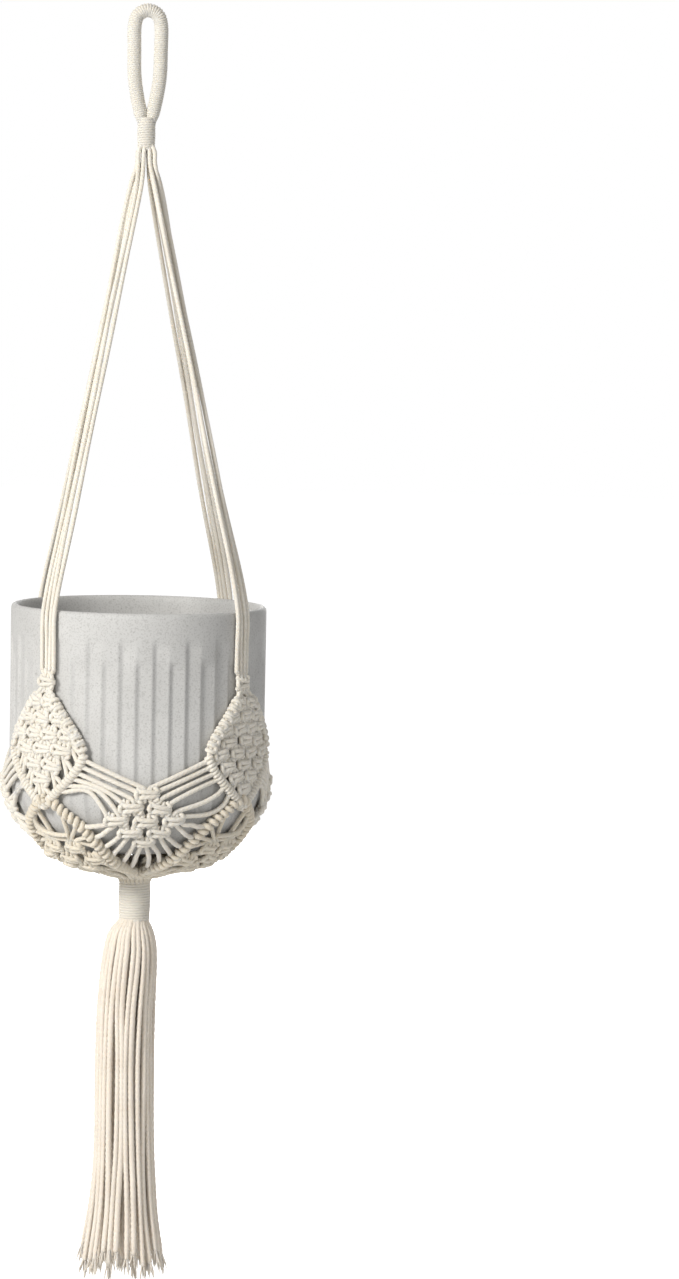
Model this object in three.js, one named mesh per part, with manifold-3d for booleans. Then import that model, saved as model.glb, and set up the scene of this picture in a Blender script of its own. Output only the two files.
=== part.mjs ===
// A hanging macrame planter: a wrapped eye, a wrapped gathering, four straps of four cords, a net of knotted
// panels round a fluted pot, a lower gathering and a tassel.
// Millimetres, +Z up. The origin is the bearing point inside the top of the eye, where a hook would sit.
// Azimuths are in degrees about Z, from the front (-Y) towards +X.
import * as THREE from 'three';
import * as BufferGeometryUtils from 'three/addons/utils/BufferGeometryUtils.js';
import Module from 'manifold-3d';

const wasm = await Module();
wasm.setup();

// Cords
const CORD = 3.3;                  // diameter of the strap cords
const TASSEL_CORD = 3.6;           // diameter of a tassel strand, slightly untwisted
const CORD_SIDES = 8;

// Hanging eye and upper gathering
const EYE_TUBE = 10;               // diameter of the wrapped bundle
const EYE_HALF = 9.1;              // half the distance between the two limbs
const NECK_PIVOT_Z = -70;          // where the eye tilts on the gathering
const NECK_BALL = 5;               // radius of the rounded end of the eye
const NECK_GAP = 0.4;
const UPPER_COLLAR = { radius: 6.25, top: -72.5, bottom: -91.6 };

// Pot
const POT_RADIUS = 89.5;
const POT_RIM_Z = -408;
const POT_SHOULDER_Z = -535;       // the straight wall ends here
const POT_FLOOR_Z = -577;
const POT_FOOT_RADIUS = 56;
const POT_WALL = 5.5;
const POT_SHOULDER_PULL = [86, -560];   // control point of the curve from wall to foot, as radius and z
const POT_SEGMENTS = 60;

// Straps
const STRAP_AZIMUTHS = { front_left: -42, front_right: 51, back_right: 138, back_left: 227 };
const WALL_CORD_RADIUS = POT_RADIUS + 0.8 + CORD / 2;
// Route of a strap: z, radius of its middle, and the four cords' offsets outwards and sideways.
const SQUARE_LAY = [[0, -2.55], [-2.55, 0], [2.55, 0], [0, 2.55]];
const BAND_LAY = [[1.15, -4], [-1.15, -1.34], [1.15, 1.34], [-1.15, 4]];
const FLAT_LAY = [[0, -5.3], [0, -1.77], [0, 1.77], [0, 5.3]];
const STRAP_ROUTE = [
  [-92.6, 5.1, SQUARE_LAY],
  [-100, 5.5, SQUARE_LAY],
  [-116, 9.9, BAND_LAY],
  [-200, 33.5, BAND_LAY],
  [-330, 70, [[0.9, -4.6], [-0.9, -1.55], [0.9, 1.55], [-0.9, 4.6]]],
  [-392, 88, [[0.2, -5.2], [-0.5, -1.75], [0.5, 1.75], [-0.2, 5.2]]],
  [-412, WALL_CORD_RADIUS, FLAT_LAY],
  [-430, WALL_CORD_RADIUS, FLAT_LAY],
  [-449.8, WALL_CORD_RADIUS, FLAT_LAY],
];
const STRAP_STEPS = 16;

// Net: everything knotted lies on a surface that follows the pot. A place on it is an azimuth and a distance
// down the surface from the top of the panels.
const NET_GAP = 0.8;               // from the pot to the net
const NET_TOP_Z = -461;
const NET_THICKNESS = 5.6;
const LINK_THICKNESS = 4;
const KNOT = { half: 4, top: -10.6, bottom: -0.5, thickness: 6 };
const PANEL = { side: 22, sideAt: 47, bottomAt: 81 };
const FAN = { topAt: 69, side: 24, sideAt: 115, bottomAt: 150 };
const GORE = { topAt: 83, side: 38, bottomAt: 151 };
const HUB_AT = 152;                // the plain netting under the pot starts here
const SEAM = 0.45;                 // half the gap between two neighbouring panels

// Lower gathering and tassel
const LOWER_COLLAR = { radius: 11.2, pivot: -607, bottom: -630.2 };
const HUB_CENTRE_Z = -591.5;
const TASSEL_GAP = 4.4;            // room for the tassel to swing under the gathering
const TASSEL_COUNT = 14;
const TASSEL_TURN = 7;             // azimuth of the first strand
// Route of a strand below the gathering: distance down, distance from the middle, and the whole tassel's
// drift to one side.
const TASSEL_ROUTE = [
  [0, 10.8, -1], [3, 13, -1.6], [8, 15.2, -2], [16, 17, -2.2], [30, 18.4, -3.2], [60, 19.1, -5],
  [100, 19.6, -5.2], [165, 20.2, -4.9], [190, 21.4, -4.9], [212, 23.4, -4.9], [242, 28, -4.9],
];
const TASSEL_SPARE = [8, 2, 11, 5, 0, 9, 4, 12, 1, 7, 10, 3, 6, 13];   // how much shorter each strand is
const TASSEL_STEPS = 14;

const material = (color, roughness) => new THREE.MeshStandardMaterial({ color, roughness, metalness: 0 });
const cotton = material(0xeae3d3, 0.95);
const wrapCotton = material(0xe4dccb, 0.95);
const stoneware = material(0xd6d4d2, 0.8);

const radians = THREE.MathUtils.degToRad;

function named(name, geometry, finish) {
  const mesh = new THREE.Mesh(geometry, finish);
  mesh.name = name;
  return mesh;
}

function polar(radius, azimuth, z) {
  return new THREE.Vector3(radius * Math.sin(radians(azimuth)), -radius * Math.cos(radians(azimuth)), z);
}

function tube(points, diameter, sides, steps) {
  const section = new THREE.Shape();
  for (let i = 0; i < sides; i++) {
    const turn = (i / sides) * 2 * Math.PI;
    const corner = [Math.cos(turn) * diameter / 2, Math.sin(turn) * diameter / 2];
    if (i === 0) section.moveTo(...corner);
    else section.lineTo(...corner);
  }
  const extrudePath = new THREE.CatmullRomCurve3(points);
  return new THREE.ExtrudeGeometry(section, { extrudePath, steps, bevelEnabled: false });
}

// A closed profile of radius and z, turned about Z.
function lathe(profile, segments) {
  const geometry = new THREE.LatheGeometry(profile.map(([r, z]) => new THREE.Vector2(r, z)), segments);
  return geometry.rotateX(Math.PI / 2);
}

function arc(centreZ, radius, from, to, steps) {
  const points = [];
  for (let i = 0; i <= steps; i++) {
    const angle = radians(from + (to - from) * i / steps);
    points.push([radius * Math.cos(angle), centreZ + radius * Math.sin(angle)]);
  }
  return points;
}

// Solids for manifold-3d and back.
function merged(geometry) {
  const bare = geometry.clone();
  bare.deleteAttribute('normal');
  bare.deleteAttribute('uv');
  return BufferGeometryUtils.mergeVertices(bare, 1e-4);
}

function toSolid(geometry) {
  const joined = merged(geometry);
  const vertProperties = new Float32Array(joined.attributes.position.array);
  const triVerts = new Uint32Array(joined.index.array);
  return new wasm.Manifold(new wasm.Mesh({ numProp: 3, vertProperties, triVerts }));
}

function toGeometry(solid) {
  const mesh = solid.getMesh();
  const geometry = new THREE.BufferGeometry();
  geometry.setAttribute('position', new THREE.BufferAttribute(mesh.vertProperties, 3));
  geometry.setIndex(new THREE.BufferAttribute(mesh.triVerts, 1));
  geometry.computeVertexNormals();
  return geometry;
}

// The eye: two limbs that meet at the top and run together into a rounded end.
function hangingLoop() {
  const top = EYE_TUBE / 2;
  const limb = (side) => [
    [-0.6, top],
    [3.6, top - 0.8],
    [7.4, top - 4],
    [EYE_HALF, top - 10],
    [EYE_HALF + 0.1, -22],
    [8.8, -40],
    [7.2, -52],
    [5.4, -61],
    [3.4, -67],
  ].map(([x, z]) => new THREE.Vector3(x * side, 0, z));
  const limbs = [-1, 1].map((side) => toSolid(tube(limb(side), EYE_TUBE, 12, 18)));
  const ball = toSolid(lathe([[0, NECK_PIVOT_Z - NECK_BALL],
    ...arc(NECK_PIVOT_Z, NECK_BALL, -60, 60, 6), [0, NECK_PIVOT_Z + NECK_BALL]], 16));
  return named('hanging_loop', toGeometry(limbs[0].add(limbs[1]).add(ball)), wrapCotton);
}

// The upper gathering, hollowed at its top for the rounded end of the eye.
function upperCollar() {
  const { radius, top, bottom } = UPPER_COLLAR;
  const socket = NECK_BALL + NECK_GAP;
  const rim = THREE.MathUtils.radToDeg(Math.asin((top - NECK_PIVOT_Z) / socket));
  const profile = [[0, bottom], [radius - 0.8, bottom], [radius, bottom + 1], [radius, top],
    ...arc(NECK_PIVOT_Z, socket, rim, -90, 4)];
  profile[profile.length - 1][0] = 0;
  return named('upper_collar', lathe(profile, 24), wrapCotton);
}

function strapPoint(azimuth, [z, radius, lay], cord) {
  const [outwards, sideways] = lay[cord];
  const turn = radians(azimuth);
  const middle = polar(radius + outwards, azimuth, z);
  return middle.add(new THREE.Vector3(Math.cos(turn) * sideways, Math.sin(turn) * sideways, 0));
}

function strap(side, azimuth) {
  const group = new THREE.Group();
  for (let cord = 0; cord < SQUARE_LAY.length; cord++) {
    const points = STRAP_ROUTE.map((station) => strapPoint(azimuth, station, cord));
    const geometry = tube(points, CORD, CORD_SIDES, STRAP_STEPS);
    group.add(named(`strap_${side}_cord_${cord + 1}`, geometry, cotton));
  }
  return group;
}

function pot() {
  const outer = new THREE.QuadraticBezierCurve(new THREE.Vector2(POT_RADIUS, POT_SHOULDER_Z),
    new THREE.Vector2(...POT_SHOULDER_PULL), new THREE.Vector2(POT_FOOT_RADIUS, POT_FLOOR_Z));
  const inner = new THREE.QuadraticBezierCurve(new THREE.Vector2(POT_RADIUS - POT_WALL, POT_SHOULDER_Z),
    new THREE.Vector2(POT_SHOULDER_PULL[0] - POT_WALL, POT_SHOULDER_PULL[1] + POT_WALL),
    new THREE.Vector2(POT_FOOT_RADIUS - POT_WALL, POT_FLOOR_Z + POT_WALL));
  const along = (curve) => curve.getPoints(5).map((point) => [point.x, point.y]);
  const lip = POT_WALL / 2;
  const profile = [
    [0, POT_FLOOR_Z],
    ...along(outer).reverse(),
    [POT_RADIUS, POT_RIM_Z - lip],
    [POT_RADIUS - 0.8, POT_RIM_Z - 0.8],
    [POT_RADIUS - lip, POT_RIM_Z],
    [POT_RADIUS - POT_WALL + 0.8, POT_RIM_Z - 0.8],
    [POT_RADIUS - POT_WALL, POT_RIM_Z - lip],
    ...along(inner),
    [0, POT_FLOOR_Z + POT_WALL],
  ];
  return named('pot', lathe(profile, POT_SEGMENTS), stoneware);
}

// The surface that the net lies on, from the top of the panels to the lower gathering.
const netProfile = new THREE.Path();
netProfile.moveTo(POT_RADIUS + NET_GAP, NET_TOP_Z);
netProfile.lineTo(POT_RADIUS + NET_GAP, POT_SHOULDER_Z);
netProfile.quadraticCurveTo(POT_SHOULDER_PULL[0] + NET_GAP, POT_SHOULDER_PULL[1] - NET_GAP,
  POT_FOOT_RADIUS + NET_GAP, POT_FLOOR_Z - NET_GAP);
netProfile.lineTo(0, -602);
const NET_LENGTH = netProfile.getLength();

// A point on the net: azimuth, distance down its surface, and distance out from it.
function netPoint(azimuth, down, out) {
  const above = Math.min(down, 0);
  const place = Math.max(down, 0) / NET_LENGTH;
  const point = netProfile.getPointAt(place);
  const tangent = netProfile.getTangentAt(place);
  return polar(point.x - tangent.y * out, azimuth, point.y - above + tangent.x * out);
}

// A slab on the net between four corners, each an azimuth and a distance down, in order round its edge.
function patch(corners, thickness, cellsAcross, cellsDown) {
  const geometry = merged(new THREE.BoxGeometry(1, 1, 1, cellsAcross, cellsDown, 1));
  const position = geometry.attributes.position;
  const corner = corners.map(([azimuth, down]) => new THREE.Vector2(azimuth, down));
  for (let i = 0; i < position.count; i++) {
    const across = position.getX(i) + 0.5;
    const along = 0.5 - position.getY(i);
    const out = (position.getZ(i) + 0.5) * thickness;
    const start = corner[0].clone().lerp(corner[1], across);
    const end = corner[3].clone().lerp(corner[2], across);
    const place = start.lerp(end, along);
    position.setXYZ(i, ...netPoint(place.x, place.y, out));
  }
  geometry.computeVertexNormals();
  return geometry;
}

function strapKnot(side, azimuth) {
  const { half, top, bottom, thickness } = KNOT;
  const [left, right] = [azimuth - half, azimuth + half];
  const corners = [[left, top], [right, top], [right, bottom], [left, bottom]];
  return named(`strap_knot_${side}`, patch(corners, thickness, 2, 2), cotton);
}

function upperPanel(side, azimuth) {
  const corners = [[azimuth, 0.5], [azimuth + PANEL.side, PANEL.sideAt], [azimuth, PANEL.bottomAt],
    [azimuth - PANEL.side, PANEL.sideAt]];
  return named(`panel_${side}`, patch(corners, NET_THICKNESS, 6, 6), cotton);
}

function lowerPanel(side, azimuth) {
  const corners = [[azimuth, FAN.topAt], [azimuth + FAN.side, FAN.sideAt], [azimuth, FAN.bottomAt],
    [azimuth - FAN.side, FAN.sideAt]];
  return named(`panel_${side}`, patch(corners, NET_THICKNESS, 6, 6), cotton);
}

// The cords that run from the lower edge of an upper panel to the upper edge of the next lower panel.
function linkCords(name, panelAzimuth, fanAzimuth) {
  const turn = Math.sign(fanAzimuth - panelAzimuth);
  const onFanEdge = 0.55;
  const corners = [
    [panelAzimuth + turn * (PANEL.side + SEAM), PANEL.sideAt + 2 * SEAM],
    [fanAzimuth - turn * 3 * SEAM, FAN.topAt - SEAM],
    [fanAzimuth - turn * (FAN.side * onFanEdge + 2 * SEAM),
      THREE.MathUtils.lerp(FAN.topAt, FAN.sideAt, onFanEdge)],
    [panelAzimuth + turn * 5 * SEAM, PANEL.bottomAt - SEAM],
  ];
  if (turn < 0) corners.reverse();
  return named(name, patch(corners, LINK_THICKNESS, turn < 0 ? 3 : 5, turn < 0 ? 5 : 3), cotton);
}

// The netting between two lower panels, which widens from the foot of an upper panel to the hub.
function netGore(side, azimuth) {
  const corners = [[azimuth, GORE.topAt], [azimuth + GORE.side, GORE.bottomAt], [azimuth, GORE.bottomAt - SEAM],
    [azimuth - GORE.side, GORE.bottomAt]];
  return named(`net_${side}`, patch(corners, NET_THICKNESS, 7, 7), cotton);
}

function netHub() {
  const edge = netPoint(90, HUB_AT, 0);
  const edgeOut = netPoint(90, HUB_AT, NET_THICKNESS);
  const socket = LOWER_COLLAR.radius + 0.5;
  const profile = [
    [0, HUB_CENTRE_Z],
    ...arc(LOWER_COLLAR.pivot, socket, 90, 35, 4).slice(1),
    [edgeOut.x, edgeOut.z],
    [edge.x, edge.z],
    [0, HUB_CENTRE_Z + 3],
  ];
  profile[0][1] = LOWER_COLLAR.pivot + socket;
  return named('net_hub', lathe(profile, 32), cotton);
}

// The lower gathering, with a rounded top that turns in the hub.
function lowerCollar() {
  const { radius, pivot, bottom } = LOWER_COLLAR;
  const profile = [[0, bottom], [radius - 0.8, bottom], [radius, bottom + 1], ...arc(pivot, radius, 0, 90, 5)];
  profile[profile.length - 1][0] = 0;
  return named('lower_collar', lathe(profile, 24), wrapCotton);
}

function tasselStrand(index) {
  const azimuth = TASSEL_TURN + index * 360 / TASSEL_COUNT;
  const full = TASSEL_ROUTE.at(-1)[0];
  const length = (full - TASSEL_SPARE[index]) / full;
  const points = TASSEL_ROUTE.map(([down, radius, drift]) => {
    const depth = down * length;
    const point = polar(radius, azimuth, LOWER_COLLAR.bottom - TASSEL_GAP - depth);
    return point.setX(point.x + drift);
  });
  return named(`tassel_strand_${index + 1}`, tube(points, TASSEL_CORD, CORD_SIDES, TASSEL_STEPS), cotton);
}

function midway(azimuths, index) {
  const next = azimuths[(index + 1) % azimuths.length];
  const turn = index + 1 < azimuths.length ? 0 : 360;
  return (azimuths[index] + next + turn) / 2;
}

const planter = new THREE.Group();
planter.add(hangingLoop(), upperCollar(), pot(), netHub(), lowerCollar());
const sides = Object.keys(STRAP_AZIMUTHS);
const azimuths = Object.values(STRAP_AZIMUTHS);
const betweenSides = ['front', 'right', 'back', 'left'];
sides.forEach((side, index) => {
  const azimuth = azimuths[index];
  const between = midway(azimuths, index);
  const next = index + 1 < sides.length ? azimuths[index + 1] : azimuths[0] + 360;
  const nextSide = sides[(index + 1) % sides.length];
  planter.add(strap(side, azimuth), strapKnot(side, azimuth), upperPanel(side, azimuth));
  planter.add(lowerPanel(betweenSides[index], between), netGore(side, azimuth));
  planter.add(linkCords(`links_${side}_to_${betweenSides[index]}`, azimuth, between));
  planter.add(linkCords(`links_${nextSide}_to_${betweenSides[index]}`, next, between));
});
for (let index = 0; index < TASSEL_COUNT; index++) planter.add(tasselStrand(index));

export default planter;
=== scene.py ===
"""The looks of a hanging macrame planter: plied cotton cord, square knots, wrapped gatherings, a speckled fluted
pot and a frayed tassel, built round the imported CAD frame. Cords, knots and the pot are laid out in
millimetres, which MM scales to metres."""

import math
import random

import bpy
import numpy as np
from mathutils import Matrix, Vector


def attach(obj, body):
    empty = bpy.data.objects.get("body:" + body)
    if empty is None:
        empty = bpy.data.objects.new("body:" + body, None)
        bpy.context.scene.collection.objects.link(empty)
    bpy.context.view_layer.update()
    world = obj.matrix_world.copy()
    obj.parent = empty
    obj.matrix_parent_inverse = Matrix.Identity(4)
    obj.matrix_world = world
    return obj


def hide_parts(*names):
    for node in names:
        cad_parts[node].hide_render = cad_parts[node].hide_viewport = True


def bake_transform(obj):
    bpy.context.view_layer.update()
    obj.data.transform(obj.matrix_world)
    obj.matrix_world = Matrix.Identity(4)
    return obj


MM = 0.001
PLIES = 3                          # yarns twisted into one cord

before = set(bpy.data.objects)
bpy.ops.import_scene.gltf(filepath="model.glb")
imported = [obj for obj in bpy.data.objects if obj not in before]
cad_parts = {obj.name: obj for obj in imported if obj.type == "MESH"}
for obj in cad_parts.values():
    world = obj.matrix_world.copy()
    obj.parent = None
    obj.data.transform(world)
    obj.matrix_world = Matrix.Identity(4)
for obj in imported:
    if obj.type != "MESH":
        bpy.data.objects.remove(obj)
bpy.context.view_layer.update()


def placed_object(name, data):
    """A new object in the scene."""
    thing = bpy.data.objects.new(name, data)
    bpy.context.scene.collection.objects.link(thing)
    return thing


# ---------------------------------------------------------------- camera, light and floor

CAMERA_DISTANCE = 3.0
CAMERA_HEIGHT = -0.1784
CAMERA_YAW, CAMERA_PITCH, CAMERA_ROLL = 2.695, 4.802, 1.12      # degrees: right, down, top to the right
CAMERA_LENS = 120.6
FLOOR_Z = -1.02
FLOOR_REACH = 14                   # radius
FLOOR_SIDES = 64
FLOOR_GLOW = 0.76                  # how bright the floor is to the camera, on top of the light it gets
AMBIENT = 0.40                     # how bright the white surroundings are as light on the object


def make_camera():
    yaw, pitch, roll = (math.radians(a) for a in (CAMERA_YAW, CAMERA_PITCH, CAMERA_ROLL))
    ahead = Vector((math.sin(yaw) * math.cos(pitch), math.cos(yaw) * math.cos(pitch), -math.sin(pitch)))
    level = Vector((math.cos(yaw), -math.sin(yaw), 0))
    above = level.cross(ahead)
    right = math.cos(roll) * level + math.sin(roll) * above
    up = right.cross(ahead)
    camera = placed_object("camera", bpy.data.cameras.new("camera"))
    axes = Matrix((right, up, -ahead)).transposed().to_4x4()
    camera.matrix_world = Matrix.Translation((0, -CAMERA_DISTANCE, CAMERA_HEIGHT)) @ axes
    camera.data.lens = CAMERA_LENS
    camera.data.clip_end = 50
    bpy.context.scene.camera = camera


def area_light(name, place, target, size, power, colour=(1, 1, 1)):
    light = bpy.data.lights.new(name, "AREA")
    light.shape = "DISK"
    light.size = size
    light.energy = power
    light.color = colour
    lamp = placed_object(name, light)
    lamp.location = place
    lamp.rotation_mode = "QUATERNION"
    lamp.rotation_quaternion = (Vector(target) - Vector(place)).to_track_quat("-Z", "Y")
    lamp.visible_camera = False


def seen_brightness(tree, lit, seen):
    """A strength that is one value as light on the object and another as the backdrop itself."""
    path = tree.nodes.new("ShaderNodeLightPath")
    mix = tree.nodes.new("ShaderNodeMath")
    mix.operation = "MULTIPLY_ADD"
    mix.inputs[1].default_value = seen - lit
    mix.inputs[2].default_value = lit
    tree.links.new(path.outputs["Is Camera Ray"], mix.inputs[0])
    return mix.outputs[0]


def make_studio():
    scene = bpy.context.scene
    scene.view_settings.view_transform = "Standard"
    world = bpy.data.worlds.new("studio")
    scene.world = world
    world.use_nodes = True
    background = world.node_tree.nodes["Background"]
    background.inputs["Color"].default_value = (1, 1, 1, 1)
    seen = seen_brightness(world.node_tree, AMBIENT, 1.0)
    world.node_tree.links.new(seen, background.inputs["Strength"])
    area_light("key", (-2.0, -2.0, 0.8), (0, 0, -0.45), 1.0, 92, (1, 0.99, 0.97))
    area_light("fill", (1.6, -2.8, -0.1), (0, 0, -0.5), 2.2, 11, (0.97, 0.985, 1))
    area_light("rear", (0.5, 3.2, 0.3), (0, 0, -0.45), 2.6, 92)


def make_floor():
    """A wide pale disc, bright enough to run into the white surroundings."""
    turns = [2 * math.pi * i / FLOOR_SIDES for i in range(FLOOR_SIDES)]
    verts = [(FLOOR_REACH * math.cos(turn), FLOOR_REACH * math.sin(turn), FLOOR_Z) for turn in turns]
    mesh = bpy.data.meshes.new("floor")
    mesh.from_pydata(verts, [], [tuple(range(FLOOR_SIDES))])
    floor = placed_object("floor", mesh)
    pale = bpy.data.materials.new("floor_pale")
    pale.use_nodes = True
    shader = pale.node_tree.nodes["Principled BSDF"]
    shader.inputs["Base Color"].default_value = (0.7, 0.7, 0.7, 1)
    shader.inputs["Roughness"].default_value = 0.9
    shader.inputs["Emission Color"].default_value = (1, 1, 1, 1)
    seen = seen_brightness(pale.node_tree, 0.0, FLOOR_GLOW)
    pale.node_tree.links.new(seen, shader.inputs["Emission Strength"])
    floor.data.materials.append(pale)


make_camera()
make_studio()
make_floor()

# ---------------------------------------------------------------- materials


class Nodes:
    """A material's node tree, with short calls to add and join nodes."""

    def __init__(self, name):
        self.material = bpy.data.materials.new(name)
        self.material.use_nodes = True
        self.tree = self.material.node_tree
        self.shader = self.tree.nodes["Principled BSDF"]

    def add(self, kind, settings=None, **inputs):
        """A new node. An input is given by its name, or by i and its number, as a value or as a socket."""
        node = self.tree.nodes.new(kind)
        for key, value in (settings or {}).items():
            setattr(node, key, value)
        for key, value in inputs.items():
            socket = node.inputs[int(key[1:])] if key[0] == "i" and key[1:].isdigit() else node.inputs[key]
            if isinstance(value, bpy.types.NodeSocket):
                self.tree.links.new(value, socket)
            else:
                socket.default_value = value
        return node

    def math(self, operation, a, b=0.0):
        return self.add("ShaderNodeMath", {"operation": operation}, i0=a, i1=b).outputs[0]

    def ramp(self, factor, stops):
        """A colour ramp between stops, each a place and a colour."""
        node = self.add("ShaderNodeValToRGB", Fac=factor)
        elements = node.color_ramp.elements
        while len(elements) < len(stops):
            elements.new(0.5)
        for element, (place, colour) in zip(elements, stops):
            element.position = place
            element.color = (*colour, 1)
        return node.outputs["Color"]

    def set(self, **values):
        """Sets the shader's inputs, whose names have spaces where these have underscores."""
        for key, value in values.items():
            socket = self.shader.inputs[key.replace("_", " ")]
            if isinstance(value, bpy.types.NodeSocket):
                self.tree.links.new(value, socket)
            else:
                socket.default_value = value


def cotton_material(name, light, dark, bump=0.55):
    """Plied cotton: slanted plies from the cord's own UV, fine fibres, and slow changes of tone."""
    nodes = Nodes(name)
    place = nodes.add("ShaderNodeTexCoord")
    uv = nodes.add("ShaderNodeSeparateXYZ", Vector=place.outputs["UV"])
    turns = nodes.math("ADD", nodes.math("MULTIPLY", uv.outputs["X"], float(PLIES)), uv.outputs["Y"])
    wave = nodes.math("SINE", nodes.math("MULTIPLY", turns, 2 * math.pi))
    ply = nodes.math("ADD", nodes.math("MULTIPLY", wave, 0.5), 0.5)
    stretched = nodes.add("ShaderNodeMapping", Vector=place.outputs["Object"], Scale=(1, 1, 0.35))
    fibre = nodes.add("ShaderNodeTexNoise", Vector=stretched.outputs[0], Scale=3200.0, Detail=3.0)
    tone = nodes.add("ShaderNodeTexNoise", Vector=place.outputs["Object"], Scale=45.0, Detail=4.0)
    mixed = nodes.math("ADD", nodes.math("MULTIPLY", fibre.outputs["Fac"], 0.55),
                       nodes.math("MULTIPLY", tone.outputs["Fac"], 0.45))
    colour = nodes.ramp(mixed, [(0.3, dark), (0.62, light)])
    height = nodes.math("ADD", nodes.math("MULTIPLY", ply, 0.6),
                        nodes.math("MULTIPLY", fibre.outputs["Fac"], 0.4))
    relief = nodes.add("ShaderNodeBump", Height=height, Strength=bump, Distance=0.0005)
    nodes.set(Base_Color=colour, Roughness=0.92, Normal=relief.outputs[0])
    nodes.set(Sheen_Weight=0.35, Sheen_Roughness=0.5, Specular_IOR_Level=0.2)
    nodes.set(Subsurface_Weight=0.45, Subsurface_Scale=0.0016)
    nodes.shader.inputs["Subsurface Radius"].default_value = (1.0, 0.9, 0.72)
    nodes.shader.inputs["Sheen Tint"].default_value = (1, 0.97, 0.9, 1)
    return nodes.material


def stoneware_material():
    """Matte light grey stoneware: slow clouds of tone, sandy grain and fine dark specks."""
    nodes = Nodes("stoneware_speckled")
    place = nodes.add("ShaderNodeTexCoord").outputs["Object"]
    cloud = nodes.add("ShaderNodeTexNoise", Vector=place, Scale=28.0, Detail=5.0)
    base = nodes.ramp(cloud.outputs["Fac"], [(0.3, (0.48, 0.474, 0.459)), (0.7, (0.55, 0.544, 0.528))])
    sand = nodes.add("ShaderNodeTexNoise", Vector=place, Scale=900.0, Detail=2.0)
    grain = nodes.ramp(sand.outputs["Fac"], [(0.34, (0.82, 0.815, 0.81)), (0.5, (1, 1, 1))])
    mottled = nodes.add("ShaderNodeMix", {"data_type": "RGBA", "blend_type": "MULTIPLY"},
                        i0=1.0, i6=base, i7=grain)
    cells = nodes.add("ShaderNodeTexVoronoi", Vector=place, Scale=330.0)
    dot = nodes.math("LESS_THAN", cells.outputs["Distance"], 0.2)
    chosen = nodes.add("ShaderNodeSeparateColor", Color=cells.outputs["Color"])
    speck = nodes.math("MULTIPLY", dot, nodes.math("GREATER_THAN", chosen.outputs[0], 0.72))
    speckled = nodes.add("ShaderNodeMix", {"data_type": "RGBA"}, i0=nodes.math("MULTIPLY", speck, 0.34),
                         i6=mottled.outputs[2], i7=(0.25, 0.24, 0.225, 1))
    height = nodes.math("SUBTRACT", nodes.math("MULTIPLY", sand.outputs["Fac"], 0.6),
                        nodes.math("MULTIPLY", speck, 0.3))
    relief = nodes.add("ShaderNodeBump", Height=height, Strength=0.35, Distance=0.0004)
    nodes.set(Base_Color=speckled.outputs[2], Normal=relief.outputs[0])
    nodes.set(Roughness=0.68, Specular_IOR_Level=0.3)
    return nodes.material


COTTON = cotton_material("cotton_cord", (0.755, 0.715, 0.643), (0.64, 0.594, 0.512))
WRAP = cotton_material("cotton_wrap", (0.69, 0.653, 0.585), (0.62, 0.582, 0.512), bump=0.16)
# Painted shade: the netting under the pot and its hub use a darker, warmer copy of the cotton, standing for the
# shadow under the pot.
NETTING_PAINTED_SHADE = cotton_material("cotton_net_painted_shade", (0.715, 0.655, 0.55), (0.59, 0.53, 0.43))
TASSEL = cotton_material("cotton_tassel", (0.79, 0.722, 0.635), (0.68, 0.605, 0.515), bump=0.5)
STONEWARE = stoneware_material()

# ---------------------------------------------------------------- cord geometry


def smooth_path(points, step):
    """A Catmull-Rom curve through the points, cut into even steps."""
    points = np.asarray(points, float)
    ends = np.vstack([2 * points[0] - points[1], points, 2 * points[-1] - points[-2]])
    gaps = np.maximum(np.linalg.norm(np.diff(ends, axis=0), axis=1) ** 0.5, 1e-6)
    knots = np.concatenate([[0], np.cumsum(gaps)])
    fine = []
    share = np.linspace(0, 1, 13)[:-1]
    for i in range(1, len(ends) - 2):
        p, t = ends[i - 1:i + 3], knots[i - 1:i + 3]
        u = (t[1] + share * (t[2] - t[1]))[:, None]
        a = [((t[k + 1] - u) * p[k] + (u - t[k]) * p[k + 1]) / (t[k + 1] - t[k]) for k in range(3)]
        b = [((t[k + 2] - u) * a[k] + (u - t[k]) * a[k + 1]) / (t[k + 2] - t[k]) for k in range(2)]
        fine.append(((t[2] - u) * b[0] + (u - t[1]) * b[1]) / (t[2] - t[1]))
    fine = np.vstack(fine + [points[-1:]])
    return even_steps(fine, step)


def run_along(path):
    """The distance along a path at each of its points."""
    return np.concatenate([[0], np.cumsum(np.linalg.norm(np.diff(path, axis=0), axis=1))])


def even_steps(path, step):
    run = run_along(path)
    count = max(2, int(round(run[-1] / step)) + 1)
    at = np.linspace(0, run[-1], count)
    return np.stack([np.interp(at, run, path[:, k]) for k in range(3)], axis=1)


def path_length(path):
    return float(np.linalg.norm(np.diff(path, axis=0), axis=1).sum())


def frames_along(path):
    """Tangent, normal and side at each point, turned as little as possible from one to the next."""
    tangents = np.gradient(path, axis=0)
    tangents /= np.linalg.norm(tangents, axis=1, keepdims=True)
    start = np.array([0.0, 0, 1]) if abs(tangents[0][2]) < 0.9 else np.array([1.0, 0, 0])
    normals = np.empty_like(path)
    normal = start
    for i, tangent in enumerate(tangents):
        normal = normal - tangent * (normal @ tangent)
        normal /= np.linalg.norm(normal)
        normals[i] = normal
    return tangents, normals, np.cross(tangents, normals)


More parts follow.
